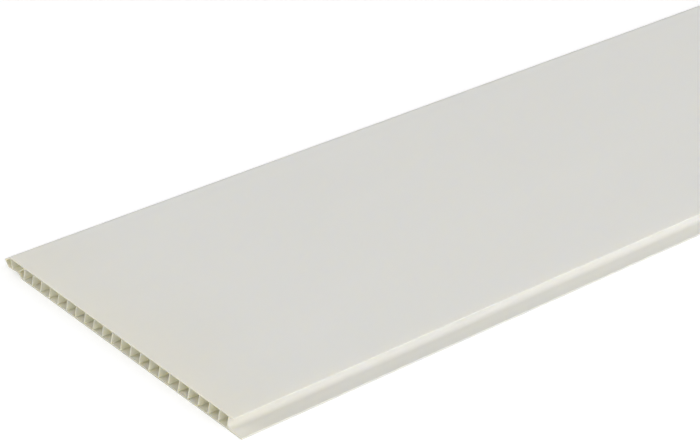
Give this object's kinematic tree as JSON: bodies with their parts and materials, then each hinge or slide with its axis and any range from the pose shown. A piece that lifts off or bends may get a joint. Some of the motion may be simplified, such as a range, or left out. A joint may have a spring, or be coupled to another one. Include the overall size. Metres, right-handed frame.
{
  "type": "pvc wall panel",
  "caption": "Hollow extruded PVC wall panel with a smooth flat face, a bevelled tongue along one long edge and a groove with a fixing flange along the other.",
  "frame": {"origin": "middle of the panel on the plane of its back, at the centre of the bounding box's bottom", "axes": "+X across the width from the tongue to the fixing flange, +Y along the length, +Z out of the face"},
  "size_m": [0.2622, 2.6, 0.011],
  "materials": {
    "pvc": "satin off-white rigid PVC, through-coloured, with a sawn end that shows the hollow cells"
  },
  "bodies": {
    "root": {"wall_panel": "pvc"}
  },
  "joints": []
}
